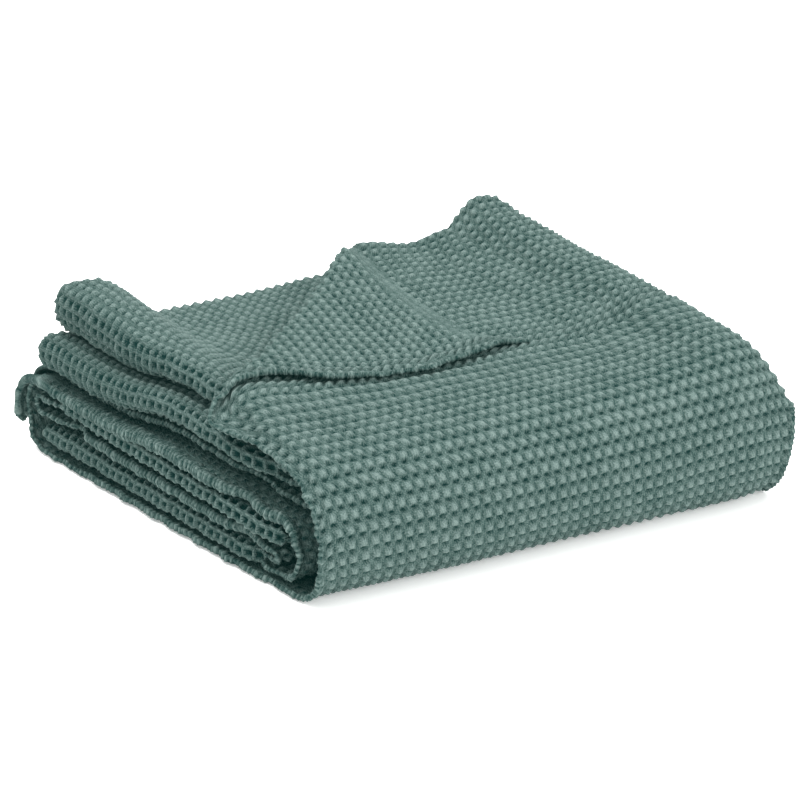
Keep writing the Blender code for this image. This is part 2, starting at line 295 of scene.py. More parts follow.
def hung(rows, u, z):
    """Where the loose fold lies, which is longer at the back left and hangs down round the fold
    below it there: (u, v, z)."""
    v = rows.v[:, None] + 0.0 * u
    last = (rows.layer == LOOSE[-1]) & (rows.fold > 0.0)
    loose = np.isin(rows.layer, LOOSE) & (rows.v > HANG_FROM) & ~last
    longer = 1.0 + HANG_GAIN * along(REACHES, "droop", u)
    run = (np.minimum(v, HANG_TO) - HANG_FROM) * longer + np.maximum(v - HANG_TO, 0.0)
    middle = FLOOR + (LOOSE_LEVEL - FLOOR) * swell(u, v) - LOOSE_SINK * back_left(u, v)
    turn = np.clip(np.maximum(run - HANG_FLAT, 0.0) / HANG_RADIUS, 0.0, pi / 2)
    fall = np.maximum(run - HANG_FLAT - HANG_RADIUS * pi / 2, 0.0)
    radius = HANG_RADIUS + z - middle
    hung_v = HANG_FROM + np.minimum(run, HANG_FLAT) + radius * np.sin(turn)
    hung_z = middle - HANG_RADIUS + radius * np.cos(turn) - fall
    chosen = loose[:, None] & np.ones(u.shape, bool)
    hung_u = u - HANG_OUT * rising(run, 1.0, 5.0) * rising(u, 2.0, -2.0)
    return (np.where(chosen, spot, same) for spot, same in ((hung_u, u), (hung_v, v), (hung_z, z)))


def rim(rows, u, v):
    """How far the left rim of a layer bends down."""
    apart = back_left(0.0, v)
    curl = rows.mixed("curl")[:, None] * (1 - apart) + rows.mixed("puff")[:, None] * apart
    curl = curl * np.where(rows.mixed("hem") < 0.01, FOLDED_CURL, 1.0)[:, None]
    curl = curl * rising(u - rows.left_edge(v), RIM_WIDTH, 0.0)
    last = len(LAYERS) - 1
    top = ((rows.layer == last) | ((rows.layer == last - 1) & (rows.fold > 0.0)))[:, None]
    fade = rising(v, 3.5, 7.5) * rising(v, 32.5, 29.5)
    return curl * np.where(top, rising(v, 12.0, 9.0), fade)


def placed(rows, u, v):
    """Where points of the cloth lie, but for the rise of the turned-over corner: (u, v, z)."""
    level = rows.level[:, None] + 0.0 * u
    z = FLOOR + (level - FLOOR) * swell(u, v) + rows.mixed("open")[:, None] * back_left(u, v)
    # The higher a layer lies, the further it rounds over at the right end.
    far = np.clip((u - ROUND_START) / (LENGTH - ROUND_START), 0.0, 1.0)
    z = z - ROUND_DROP * (1 - np.sqrt(1 - far * far)) * (level / STACK) ** 3
    bend = rim(rows, u, v)
    if np.isin(rows.layer, LOOSE).any():
        u, v, z = hung(rows, u, z)
    upper = (rows.layer < UPPER_LAYERS)[:, None]
    back = np.where(upper, along(REACHES, "upper_back", u), along(REACHES, "back", u))
    shift = back * rising(v, 20.0, 30.0) - along(REACHES, "front", u) * rising(v, 10.0, 0.0)
    return np.stack((u, v + shift, z - bend), axis=-1)


def corner_frame():
    """Start, direction and outward normal of the line the corner turns over on."""
    dx, dy = CORNER_TO[0] - CORNER_FROM[0], CORNER_TO[1] - CORNER_FROM[1]
    size = hypot(dx, dy)
    return CORNER_FROM, (dx / size, dy / size), (-dy / size, dx / size)


def past_line(u, v):
    """How far points of the top layer lie past the line the corner turns over on."""
    start, _, out = corner_frame()
    return (u - start[0]) * out[0] + (v - start[1]) * out[1]


def along_line(u, v):
    """How far along that line they lie."""
    start, line, _ = corner_frame()
    return (u - start[0]) * line[0] + (v - start[1]) * line[1]


def corner_radius(u, v):
    """Radius of the fold that the corner turns over on, at places of the top layer."""
    near, far = CORNER_RADIUS
    return near + (far - near) * rising(along_line(u, v), 0.0, CORNER_RUN)


def at_loose_hem(u, v):
    """1 at the front hem of the turned-over corner, and 0 away from it."""
    bend = pi * corner_radius(u, v)
    return rising(past_line(u, v), bend, bend + 3.0) * rising(u, *HEM_NEAR)


def lifted(u, v, rise):
    """Height of the turned-over corner: its front hem stands up in a wave, its fold puffs up near
    the back, and its far hem is pressed flat."""
    past, bend = past_line(u, v), pi * corner_radius(u, v)
    swing = np.cos(2 * pi * (v - HEM_CREST) / HEM_WAVE_RUN) * rising(v, 11.0, 14.0)
    lift = HEM_LIFT * (1.0 + HEM_WAVE * swing) * at_loose_hem(u, v)
    lift = lift * (0.15 + 0.85 * rising(v, 32.0, 25.0))
    puff = CORNER_PUFF * rising(along_line(u, v), 22.0, 30.0) * rising(past, 0.0, bend)
    puff = puff * rising(past, 6.0, 2.0)
    pressed = 1.0 - END_PRESSED * rising(LAYERS[-1].end - v, END_SOFT, 0.0)
    return (rise + lift + puff) * pressed


def turned_over(u, v):
    """Places of the top layer once its corner is over: (u, v, rise)."""
    start, line, out = corner_frame()
    past, run, radius = past_line(u, v), along_line(u, v), corner_radius(u, v)
    bend, end = pi * radius, LAYERS[-1].end
    turn = np.clip(past / radius, 0.0, pi)
    away = np.minimum(past, 0.0) + radius * np.sin(turn) - np.maximum(past - bend, 0.0)
    rise = radius * (1 - np.cos(turn)) * (1 - CORNER_SETTLES * rising(past, bend, bend + 6.0))
    over = rising(past, 0.0, bend)
    tip = over * rising(np.hypot(u - SKEW * end, end - v), TIP_REACH, 0.0)
    drawn = over * rising(u, *HEM_NEAR) * rising(np.abs(v - HEM_DRAWN_AT), 4.5, 0.0)
    over_u = start[0] + line[0] * run + out[0] * away + TIP_SHIFT[0] * tip + HEM_DRAWN[0] * drawn
    over_v = start[1] + line[1] * run + out[1] * away + TIP_SHIFT[1] * tip + HEM_DRAWN[1] * drawn
    ear = rising(over_u, 3.5, -1.0) * rising(np.abs(over_v - EAR_AT), 3.5, 0.0)
    return (over_u - EAR[0] * ear, over_v + HEM_BACK * at_loose_hem(u, v),
            lifted(u, v, rise) - EAR[1] * ear)


def turned_share(u, v):
    """How far each point of the top layer is turned over, from 0 to 1."""
    return np.clip(past_line(u, v) / (pi * corner_radius(u, v)), 0.0, 1.0)


def laid(rows, u):
    """Where points of the cloth lie in the folded blanket, in centimetres round the origin."""
    v = rows.v[:, None] + 0.0 * u
    top = (rows.layer == len(LAYERS) - 1)[:, None]
    over_u, over_v, rise = turned_over(u, v)
    spots = placed(rows, np.where(top, over_u, u), np.where(top, over_v, v))
    spots[..., 2] += np.where(top, rise, 0.0)
    return spots - np.array((MIDDLE_U, MIDDLE_V, 0.0))


def columns(rows):
    """Places along the front for each row, from its left edge to its right one."""
    left = rows.left_edge(rows.v[:, None])
    share = np.linspace(0.0, 1.0, round(LENGTH / FINE) + 1)[None, :]
    return left + (rows.mixed("right")[:, None] - left) * share


def normals(grid):
    """Unit normals of a grid of points."""
    down = np.gradient(grid, axis=0)
    across = np.gradient(grid, axis=1)
    cross = np.cross(across, down)
    return cross / (np.linalg.norm(cross, axis=-1, keepdims=True) + 1e-12)


def run_along(grid, axis):
    """Distance run along one axis of a grid."""
    steps = np.linalg.norm(np.diff(grid, axis=axis), axis=-1)
    zero = np.zeros_like(np.take(steps, [0], axis=axis))
    return np.concatenate((zero, np.cumsum(steps, axis=axis)), axis=axis)


# ---- Grids of the pieces ----
# A grid has, for each point, its spot, half the thickness of the hem there, its place across and
# down the cloth, and four shares: how far the weave is raised in the mesh, how far it is left to
# the material, how far the point is on a hem, and how far the cloth's under side shows.
Grid = namedtuple("Grid", "spots thick across down weave coarse hem face")


def hem_of(edges):
    """Share of a hem and its half thickness, for pairs of the distance to an edge and its width."""
    hem, thick, rise = 0.0, 0.0, 1.0
    for distance, width in edges:
        radius = np.clip(0.6 * width, 0.05, HEM_RADIUS)
        border = width + HEM_FADE
        hem = np.maximum(hem, rising(distance, border, width - HEM_FADE))
        thick = np.maximum(thick, radius * rising(distance, border, 0.5 * width - HEM_FADE))
        rise = rise * np.sqrt(1.0 - (1.0 - np.clip(distance / radius, 0.0, 1.0)) ** 2)
    return hem, rise * thick


def within(distance, reach):
    """1 where a distance is less than a reach, fading to 0 there."""
    return rising(distance, reach, reach - FADE)


def finished(spots, across, down, edges, raised, face=0.0, soft=0.0):
    """A grid with its hems, given the edges and how far the weave is raised. soft is how far it
    is smoothed away."""
    hem, thick = hem_of(edges)
    # The lowest cloth and the ribs of its hem stay above the floor.
    spots[..., 2] = np.maximum(spots[..., 2], np.maximum(thick + 1.2 * CORD_DEPTH, CLEAR))
    rest = (1.0 - hem) * (1.0 - soft)
    weave, coarse = raised * rest, (1.0 - np.minimum(raised, 1.0)) * rest
    return Grid(spots, thick, across, down, weave, coarse, hem, face + 0.0 * across)


def open_sheet(rows, everywhere=0.0, skin=0.0, outer=False):
    """Grid of a stretch of the cloth whose left edge is a hem. Inside the blanket its first and
    last rows run on into closed pairs, where the edge draws in. The outer stretch ends in the
    turned-over corner."""
    u, v = columns(rows), rows.v[:, None]
    if not outer:
        u = u + tucked(rows.v)[:, None] * rising(u - u[:, :1], 8.0, 0.0)
    spots = laid(rows, u)
    spots = spots + normals(spots) * skin
    across, down = run_along(spots, 1), run_along(spots, 0)
    down = down if outer else TIGHTER * down
    to_right = across[:, -1:] - across
    raised = np.maximum(within(across, SIDE), within(to_right, RIGHT_SIDE))
    raised = np.maximum(raised, within(-v, -BACK_FROM))
    raised = raised * (1.0 - everywhere) + everywhere
    # The hem narrows towards the front and the back, and a wide hem does so over a longer way.
    hem = rows.mixed("hem")[:, None]
    front = np.where(hem > 1.0, rising(v, 22.0, 8.0), rising(v, 9.0, 3.0))
    hem = hem * (1.0 - 0.5 * front) * (1.0 - 0.65 * rising(v, 25.0, 32.0))
    edges = [(across, np.maximum(hem, LEAST_HEM)), (to_right, NARROW_HEM)]
    if not outer:
        return finished(spots, across, down, edges, raised)
    top = (rows.layer == len(LAYERS) - 1)[:, None]
    face = np.where(top, turned_share(u, v), 0.0)
    past = np.maximum(past_line(u, v) - pi * corner_radius(u, v), 0.0) * top
    soft = END_SOFTER * rising(down[-1:] - down, END_HEM, END_HEM - 2.0) * face
    sheet = finished(spots, across, down, edges, raised, face, soft)
    return sheet._replace(across=across + PULLED[0] * past, down=down + PULLED[1] * past)


def tucked(v):
    """How far the left edge draws in towards the first and the last of the rows, each of which
    counts for its own half of them."""
    nearest = np.minimum(np.abs(v - v[0]) + 99.0 * (np.arange(len(v)) > len(v) / 2),
                         np.abs(v - v[-1]) + 99.0 * (np.arange(len(v)) < len(v) / 2))
    return TUCKED_IN[0] * rising(nearest, TUCKED, 0.0)


def pair_rows(first, second, start):
    """Rows of two layers, from a place to the tip of the fold that they share."""
    fold = LAYERS[ORDER[first]].end
    one = flat_rows(first, start, fold).then(fold_rows(first, 0.0, 0.5))
    other = flat_rows(second, start, fold).then(fold_rows(first, 1.0, 0.5))
    return one, other


def closed_pair(first, second, shown=None):
    """Grid of two layers whose left edges are one fold, from the first's right edge round to the
    second's; their rows run to the fold they share. shown is where else the second one shows."""
    u = columns(second) + FOLD_INSET
    one, other = laid(first, columns(first) + FOLD_INSET), laid(second, u)
    middle, half = (one[:, 0] + other[:, 0]) / 2, (one[:, 0] - other[:, 0]) / 2
    bulge = np.linalg.norm(half, axis=-1, keepdims=True)
    # Where the layers stand far apart, the fold is flatter than half a circle.
    bulge = np.minimum(bulge * FOLD_BULGE, bulge * 0.15 + 0.8)
    strip = []
    for k in range(1, FOLD_TURNS):
        turn = pi * k / FOLD_TURNS
        strip.append(middle + half * cos(turn) - np.array((1.0, 0.0, 0.0)) * bulge * sin(turn))
    whole = np.concatenate((one[:, ::-1], np.stack(strip, axis=1), other), axis=1)
    start = np.abs(second.v - second.v[0])[:, None, None]
    whole = whole + normals(whole) * PLUMP * rising(start, 0.0, 1.5)
    whole[..., 0] += TUCKED_IN[1] * rising(start[..., 0], TUCKED, 0.0)
    centre = one.shape[1] + FOLD_TURNS // 2 - 1
    across = run_along(whole, 1)
    across = np.abs(across - across[:, centre:centre + 1])
    down = TIGHTER * run_along(whole[::-1], 0)[::-1]
    raised = np.maximum(within(across, SIDE), within(-second.v[:, None], -BACK_FROM))
    if shown is not None:
        raised[:, -u.shape[1]:] = np.maximum(raised[:, -u.shape[1]:], shown(u, second.v[:, None]))
    right = np.where(np.arange(whole.shape[1]) <= centre, across[:, :1], across[:, -1:]) - across
    raised = np.maximum(raised, within(right, RIGHT_SIDE))
    raised = raised + FOLD_DEEPER * rising(across, *FOLD_DEEP)
    return finished(whole, across, down, [(right, NARROW_HEM)], raised)


def cut(grid, rows):
    """Some rows of a grid."""
    return Grid(*(field[rows] for field in grid))


def behind_corner(u, v):
    """Where the layer under the turned corner shows."""
    return within(-past_line(u, v), 2.5)


# ---- Meshes ----
MERGE = 0.00002  # metres, below which points are one


def faces_of(grid):
    """Faces of a grid's own side, fine ones or wide ones, and of the under side of its hems."""
    high, wide = grid.across.shape
    index = np.arange(high * wide).reshape(high, wide)
    every = np.stack((index[:-1, :-1], index[:-1, 1:], index[1:, 1:], index[1:, :-1]), axis=-1)
    fine = np.zeros(every.shape[:2], bool)
    broad = []
    for top in range(0, high - 1, TILE):
        low = min(top + TILE, high - 1)
        for left in range(0, wide - 1, TILE):
            right = min(left + TILE, wide - 1)
            if grid.coarse[top:low + 1, left:right + 1].min() < 0.999:
                fine[top:low, left:right] = True
            else:
                broad.append((index[top, left], index[top, right], index[low, right],
                              index[low, left]))
    hem = grid.hem > 0.001
    under = hem[:-1, :-1] & hem[:-1, 1:] & hem[1:, 1:] & hem[1:, :-1] & fine
    own = np.concatenate((every[fine], np.array(broad, int).reshape(-1, 4)))
    return own, every[under][:, ::-1] + high * wide


def mesh_of(name, grid):
    """A grid as a mesh, with the place in the cloth as its UV map and the weave's shares."""
    own, under = faces_of(grid)
    faces = np.concatenate((own, under))
    kept, faces = np.unique(faces, return_inverse=True)
    faces = faces.reshape(-1, 4)
    rise = normals(grid.spots) * grid.thick[..., None]
    spots = np.concatenate(((grid.spots + rise).reshape(-1, 3), (grid.spots - rise).reshape(-1, 3)))
    mesh = bpy.data.meshes.new(name)
    mesh.from_pydata(spots[kept] * CM, [], faces)
    cloth = np.tile(np.stack((grid.across, grid.down), axis=-1).reshape(-1, 2), (2, 1))[kept]
    mesh.uv_layers.new(name="cloth").data.foreach_set("uv", cloth[faces.ravel()].ravel())
    for key in ("weave", "coarse", "hem", "face"):
        field = getattr(grid, key).ravel()
        beneath = field if key == "hem" else 0.0 * field
        share = mesh.attributes.new(key, "FLOAT", "POINT")
        share.data.foreach_set("value", np.concatenate((field, beneath))[kept])
    whole = bmesh.new()
    whole.from_mesh(mesh)
    bmesh.ops.remove_doubles(whole, verts=whole.verts, dist=MERGE)
    bmesh.ops.dissolve_degenerate(whole, edges=whole.edges, dist=MERGE)
    whole.to_mesh(mesh)
    whole.free()
    mesh.polygons.foreach_set("use_smooth", [True] * len(mesh.polygons))
    piece = bpy.data.objects.new(name, mesh)
    bpy.context.scene.collection.objects.link(piece)
    return piece


# ---- Weave, as nodes ----
MATH, NOISE, VECTOR = "ShaderNodeMath", "ShaderNodeTexNoise", "ShaderNodeVectorMath"


def add(tree, kind, sources=(), **settings):
    """A node with its settings and what its sockets take, in their order or by name: a value, a
    socket, or a node for its first output."""
    node = tree.nodes.new(kind)
    for key, value in settings.items():
        setattr(node, key, value)
    for socket, source in sources.items() if isinstance(sources, dict) else enumerate(sources):
        source = source.outputs[0] if isinstance(source, bpy.types.Node) else source
        if isinstance(source, bpy.types.NodeSocket):
            tree.links.new(source, node.inputs[socket])
        else:
            node.inputs[socket].default_value = source
    return node


def wave(tree, angle):
    """A wave from 0 to 1, which is at its top where the angle is 0."""
    cosine = add(tree, MATH, (angle,), operation="COSINE")
    return add(tree, MATH, (cosine, 0.5, 0.5), operation="MULTIPLY_ADD")


def spots_of(tree, column, row, wide, long):
    """Spots where two waves are high. The lower the powers, the wider and longer they are."""
    column = add(tree, MATH, (column, wide), operation="POWER")
    row = add(tree, MATH, (row, long), operation="POWER")
    return add(tree, MATH, (column, row), operation="MULTIPLY")


def weave_height(tree, across, down, half=0.0, ladder=0.0):
    """Height of the weave, from 0 in a pit to 1 on a puff. half moves it by half a row, and
    ladder makes wide pits with narrow rungs between them, as where the cloth is folded."""
    column = wave(tree, add(tree, MATH, (across, 2 * pi / PITCH), operation="MULTIPLY"))
    phase = add(tree, MATH, (down, 2 * pi / ROW, half * pi), operation="MULTIPLY_ADD")
    lean = add(tree, MATH, (phase,), operation="COSINE")
    row = wave(tree, add(tree, MATH, (lean, PIT_LEAN, phase), operation="MULTIPLY_ADD"))
    gap = add(tree, MATH, (1.0, row), operation="SUBTRACT")
    long = add(tree, MATH, (ladder, 2.4, 0.6), operation="MULTIPLY_ADD")
    puff = spots_of(tree, column, row, 0.65, long)
    wide = add(tree, MATH, (ladder, -0.3, 1.1), operation="MULTIPLY_ADD")
    long = add(tree, MATH, (ladder, -1.1, 1.6), operation="MULTIPLY_ADD")
    pit = spots_of(tree, column, gap, wide, long)
    rib = add(tree, MATH, (gap, RIB_RISE, RIB_LEVEL), operation="MULTIPLY_ADD")
    rib = add(tree, MATH, (ladder, RUNG_RISE, rib), operation="MULTIPLY_ADD")
    beside = add(tree, MATH, (1.0, puff), operation="SUBTRACT")
    beside = add(tree, MATH, (beside, pit), operation="SUBTRACT")
    return add(tree, MATH, (rib, beside, puff), operation="MULTIPLY_ADD")


def cord_height(tree, across, down, blots):
    """Height of the slanting ribs across a hem, from 0 to 1, crooked and filled in by blots."""
    crooked = add(tree, MATH, (blots, 0.3, down), operation="MULTIPLY_ADD")
    slant = add(tree, MATH, (across, CORD_SLANT, crooked), operation="MULTIPLY_ADD")
    ribs = wave(tree, add(tree, MATH, (slant, 2 * pi / CORD), operation="MULTIPLY"))
    share = add(tree, MATH, (blots, 0.5, 0.35), operation="MULTIPLY_ADD")
    ribs = add(tree, MATH, (ribs, share), operation="MULTIPLY")
    return add(tree, MATH, (blots, 0.35, ribs), operation="MULTIPLY_ADD")


def wandering(tree, place, amount):
    """Places in the cloth, moved about a little: across and down."""
    noise = add(tree, NOISE, {"Vector": place, "Scale": WANDER_STEPS, "Detail": 2.0})
    centred = add(tree, VECTOR, (noise.outputs["Color"], (0.5, 0.5, 0.5)), operation="SUBTRACT")
    shift = add(tree, VECTOR, {0: centred, "Scale": amount}, operation="SCALE")
    moved = add(tree, VECTOR, (place, shift), operation="ADD")
    return add(tree, "ShaderNodeSeparateXYZ", (moved,)).outputs[:2]


def either_side(tree, across, down, ladder, face):
    """How far the cloth rises from its middle on the side that shows, and its height there from
    0 to 1. A pit on the one side is a puff on the other."""
    upper = weave_height(tree, across, down, 0.0, ladder)
    under = weave_height(tree, across, down, 1.0)
    rise = add(tree, MATH, (upper, MEAN), operation="SUBTRACT")
    other = add(tree, MATH, (MEAN, under), operation="SUBTRACT")
    change = add(tree, MATH, (other, rise), operation="SUBTRACT")
    rise = add(tree, MATH, (face, change, rise), operation="MULTIPLY_ADD")
    change = add(tree, MATH, (under, upper), operation="SUBTRACT")
    shown = add(tree, MATH, (face, change, upper), operation="MULTIPLY_ADD")
    return rise, shown


def colour_height(tree, shares, shown, cord, blots, ladder):
    """The height that the colour follows, as painted shade: of the weave, of the hems' ribs and of
    plain cloth.
    """
    weave, coarse, hem, _ = shares
    cords = add(tree, MATH, (cord, 0.85, 0.06), operation="MULTIPLY_ADD")
    cords = add(tree, MATH, (cords, hem), operation="MULTIPLY")
    whole = add(tree, MATH, (weave, 1.0), operation="MINIMUM")
    height = add(tree, MATH, (shown, whole, cords), operation="MULTIPLY_ADD")
    plain = add(tree, MATH, (hem, coarse), operation="ADD")
    plain = add(tree, MATH, (1.0, plain), operation="SUBTRACT")
    plain = add(tree, MATH, (plain, weave), operation="SUBTRACT")
    plain = add(tree, MATH, (plain, 0.0), operation="MAXIMUM")
    level = add(tree, MATH, (blots, 0.25, 0.5), operation="MULTIPLY_ADD")
    height = add(tree, MATH, (plain, level, height), operation="MULTIPLY_ADD")
    # Painted shade: the pits of a closed fold are darker still.
    darker = add(tree, MATH, (1.0, height), operation="SUBTRACT")
    darker = add(tree, MATH, (darker, ladder), operation="MULTIPLY")
    return add(tree, MATH, (darker, -LADDER_SHADE, height), operation="MULTIPLY_ADD")


def group_of_nodes():
    """An empty group of geometry nodes with its named inputs, and the sockets that give them."""
    tree = bpy.data.node_groups.new("waffle_weave", "GeometryNodeTree")
    sockets = tree.interface
    sockets.new_socket("Geometry", in_out="INPUT", socket_type="NodeSocketGeometry")
    for key in ("Depth", "Hem Depth", "Unevenness"):
        sockets.new_socket(key, in_out="INPUT", socket_type="NodeSocketFloat")
    sockets.new_socket("Cotton", in_out="INPUT", socket_type="NodeSocketMaterial")
    sockets.new_socket("Geometry", in_out="OUTPUT", socket_type="NodeSocketGeometry")
    return tree, add(tree, "NodeGroupInput").outputs


def weave_tree():
    """Geometry nodes that raise the waffle weave: each point moves along its normal."""
    tree, given = group_of_nodes()
    place = add(tree, "GeometryNodeInputNamedAttribute", {"Name": "cloth"},
                data_type="FLOAT_VECTOR")
    shares = [add(tree, "GeometryNodeInputNamedAttribute", {"Name": key}, data_type="FLOAT")
              for key in ("weave", "coarse", "hem", "face")]
    weave, _, hem, face = shares
    across, down = wandering(tree, place, given["Unevenness"])
    # The weave is raised more than fully on a closed fold, and shows as a ladder there.
    ladder = add(tree, MATH, (weave, 1.0 / FOLD_DEEPER, -1.0 / FOLD_DEEPER),
                 operation="MULTIPLY_ADD", use_clamp=True)
    rise, shown = either_side(tree, across, down, ladder, face)
    # Puffs differ a little in height.
    each = add(tree, NOISE, {"Vector": place, "Scale": PUFF_STEPS, "Detail": 1.0})
    gain = add(tree, MATH, (each, 0.7, 0.65), operation="MULTIPLY_ADD")
    relief = add(tree, MATH, (rise, gain), operation="MULTIPLY")
    relief = add(tree, MATH, (relief, weave), operation="MULTIPLY")
    blots = add(tree, NOISE, {"Vector": place, "Scale": BLOT_STEPS, "Detail": 2.0})
    blots = add(tree, MATH, (blots, 3.0, -1.0), operation="MULTIPLY_ADD", use_clamp=True)
    cord = cord_height(tree, across, down, blots)
    lift = add(tree, MATH, (cord, hem), operation="MULTIPLY")
    lift = add(tree, MATH, (lift, given["Hem Depth"]), operation="MULTIPLY")
    lift = add(tree, MATH, (relief, given["Depth"], lift), operation="MULTIPLY_ADD")
    normal = add(tree, "GeometryNodeInputNormal")
    offset = add(tree, VECTOR, {0: normal, "Scale": lift}, operation="SCALE")
    raised = add(tree, "GeometryNodeSetPosition",
                 {"Geometry": given["Geometry"], "Offset": offset})
    # The height the colour follows, stored for the material's painted shade in the pits.
    height = colour_height(tree, shares, shown, cord, blots, ladder)
    kept = add(tree, "GeometryNodeStoreNamedAttribute",
               {"Geometry": raised, "Name": "height", "Value": height},
               data_type="FLOAT", domain="POINT")
    real = add(tree, "GeometryNodeRealizeInstances", {"Geometry": kept})
    dyed = add(tree, "GeometryNodeSetMaterial", {"Geometry": real, "Material": given["Cotton"]})
    add(tree, "NodeGroupOutput", (dyed,))
    return tree


def woven(piece, tree, cotton):
    """The piece with its weave raised and its material on, as a plain mesh."""
    maker = piece.modifiers.new("Weave", "NODES")
    maker.node_group = tree
    values = {"Depth": DEPTH * CM, "Hem Depth": CORD_DEPTH * CM, "Unevenness": UNEVEN,
              "Cotton": cotton}
    for item in tree.interface.items_tree:
        if item.in_out == "INPUT" and item.name in values:
            maker[item.identifier] = values[item.name]
    seen = piece.evaluated_get(bpy.context.evaluated_depsgraph_get())
    mesh = bpy.data.meshes.new_from_object(seen)
    piece.modifiers.clear()
    piece.data = mesh
    return piece


# ---- Material ----
def linear(code):
    """An sRGB hex colour as linear RGBA."""
    parts = [int(code[i:i + 2], 16) / 255 for i in (1, 3, 5)]
    return (*(c / 12.92 if c <= 0.04045 else ((c + 0.055) / 1.055) ** 2.4 for c in parts), 1.0)


PIT, SLOPE, CREST = "#0B2A28", "#475A56", "#6F807C"  # colours from the pits up to the puffs: painted shade, darker the lower the cloth lies and lighter on the puffs
YARN_MM = 1.2  # thickness of the yarn
STRAND_MM = 1.7  # between the strands that float over a puff
DYE_MM = 28.57  # between places where the dye took more and less
YARN_RELIEF = 0.00156  # metres, and so deeper than it is, because it would not show otherwise
STRAND_RELIEF = 0.00009  # metres
DRAWN_RELIEF = 0.6  # share of the weave's depth that is drawn where it is left to the material
PAINTED_GLOW = 0.4  # painted glow: the cloth glows faintly in the pit colour, which keeps the deepest shade green


def waffle_cotton():
    """Woven cotton yarn, dyed grey green: matt, softly hairy, with painted shade that darkens it in
    the pits and a faint painted glow in the pit colour.
    """
    material = bpy.data.materials.new("woven_waffle_cotton")
    material.use_nodes = True
    tree = material.node_tree
    tree.nodes.clear()
    place = add(tree, "ShaderNodeUVMap", uv_map="cloth")
    coarse, raised = (add(tree, "ShaderNodeAttribute", attribute_name=key).outputs["Fac"]
                      for key in ("coarse", "height"))
    across, down, _ = add(tree, "ShaderNodeSeparateXYZ", (place,)).outputs
    # Where the weave is left to the material, its drawn height also darkens the colour in the pits
    # as painted shade, besides bumping it.
    drawn = add(tree, MATH, (weave_height(tree, across, down), coarse), operation="MULTIPLY")
    height = add(tree, MATH, (raised, drawn), operation="ADD")
    yarn = add(tree, NOISE, {"Vector": place, "Scale": 10 / YARN_MM, "Detail": 2.0})
    dye = add(tree, NOISE, {"Vector": place, "Scale": 10 / DYE_MM})
    crooked = add(tree, MATH, (yarn, 0.22, across), operation="MULTIPLY_ADD")
    strand = add(tree, MATH, (crooked, 20 * pi / STRAND_MM), operation="MULTIPLY")
    strand = add(tree, MATH, (strand,), operation="COSINE")
    # Lighter and darker places in the dye, the yarn and the strands.
    tone = add(tree, MATH, (dye, 0.4, -0.82), operation="MULTIPLY_ADD")
    tone = add(tree, MATH, (yarn, 1.2, tone), operation="MULTIPLY_ADD")
    tone = add(tree, MATH, (strand, 0.07, tone), operation="MULTIPLY_ADD")
    level = add(tree, MATH, (height, tone), operation="ADD")
    # Painted shade: the colour runs from the pit colour where the cloth lies low up to the crest
    # colour on the puffs.
    colour = add(tree, "ShaderNodeValToRGB", (level,))
    ramp = colour.color_ramp
    ramp.elements[0].position, ramp.elements[0].color = 0.05, linear(PIT)
    ramp.elements[1].position, ramp.elements[1].color = 1.0, linear(CREST)
    middle = ramp.elements.new(0.5)
    middle.color = linear(SLOPE)
    relief = add(tree, MATH, (drawn, DEPTH * CM * DRAWN_RELIEF), operation="MULTIPLY")
    threads = add(tree, MATH, (yarn, YARN_RELIEF, relief), operation="MULTIPLY_ADD")
    threads = add(tree, MATH, (strand, STRAND_RELIEF, threads), operation="MULTIPLY_ADD")
    bump = add(tree, "ShaderNodeBump", {"Height": threads, "Distance": 1.0, "Strength": 1.0})
    shader = add(tree, "ShaderNodeBsdfPrincipled", {
        "Base Color": colour, "Normal": bump, "Roughness": 0.92, "Specular IOR Level": 0.1,
        "Sheen Weight": 0.15, "Sheen Roughness": 0.5, "Sheen Tint": linear(CREST),
        # Painted glow: a faint emission in the pit colour keeps the deepest shade green.
        "Emission Color": linear(PIT), "Emission Strength": PAINTED_GLOW})
    add(tree, "ShaderNodeOutputMaterial", (shader,))
    return material


def pale_floor():
    """Seamless paper: matt, almost white and softly lit through from below."""
    material = bpy.data.materials.new("white_paper")
    material.use_nodes = True
    shader = material.node_tree.nodes["Principled BSDF"]
    shader.inputs["Base Color"].default_value = linear("#FBFBFA")
    shader.inputs["Roughness"].default_value = 0.9
    shader.inputs["Specular IOR Level"].default_value = 0.1
    shader.inputs["Emission Color"].default_value = linear("#FFFFFF")
    shader.inputs["Emission Strength"].default_value = 0.25
    return material


# ---- The blanket ----
def inner_grids():
    """Grids of the folded layers inside the outer fold, by name."""
    inside = PAIR_FRONT + TUCKED
    loose = flat_rows("lower_roll_under", inside).then(fold_rows("lower_roll_under"))
    loose = loose.then(flat_rows("loose_upper")).then(fold_rows("loose_upper"))
    loose = loose.then(flat_rows("hem_band")).then(fold_rows("hem_band"))
    loose = loose.then(flat_rows("low_pair_under", None, inside))
    tongue = flat_rows("low_pair_top", inside).then(fold_rows("low_pair_top"))
    tongue = tongue.then(flat_rows("tongue")).then(fold_rows("tongue"))
    tongue = tongue.then(flat_rows("middle_pair_under", None, PAIR_BACK - TUCKED))
    turn = flat_rows("upper_roll_under", inside).then(fold_rows("upper_roll_under"))
    turn = turn.then(flat_rows("lower_roll_top", None, inside))
    upper = pair_rows("upper_roll_top", "upper_roll_under", PAIR_FRONT)
    lower = pair_rows("lower_roll_top", "lower_roll_under", PAIR_FRONT)
    low_under, low_top = pair_rows("low_pair_under", "low_pair_top", PAIR_FRONT)
    under, top = pair_rows("middle_pair_under", "middle_pair_top", PAIR_BACK)
    return {
        "upper_roll": closed_pair(upper[1], upper[0], behind_corner),
        "lower_roll": closed_pair(lower[1], lower[0]),
        "roll_turn": open_sheet(turn),
        "loose_fold": open_sheet(loose),
        "low_pair": closed_pair(low_under, low_top),
        "tongue_layer": open_sheet(tongue),
        "middle_pair": closed_pair(top, under),
    }


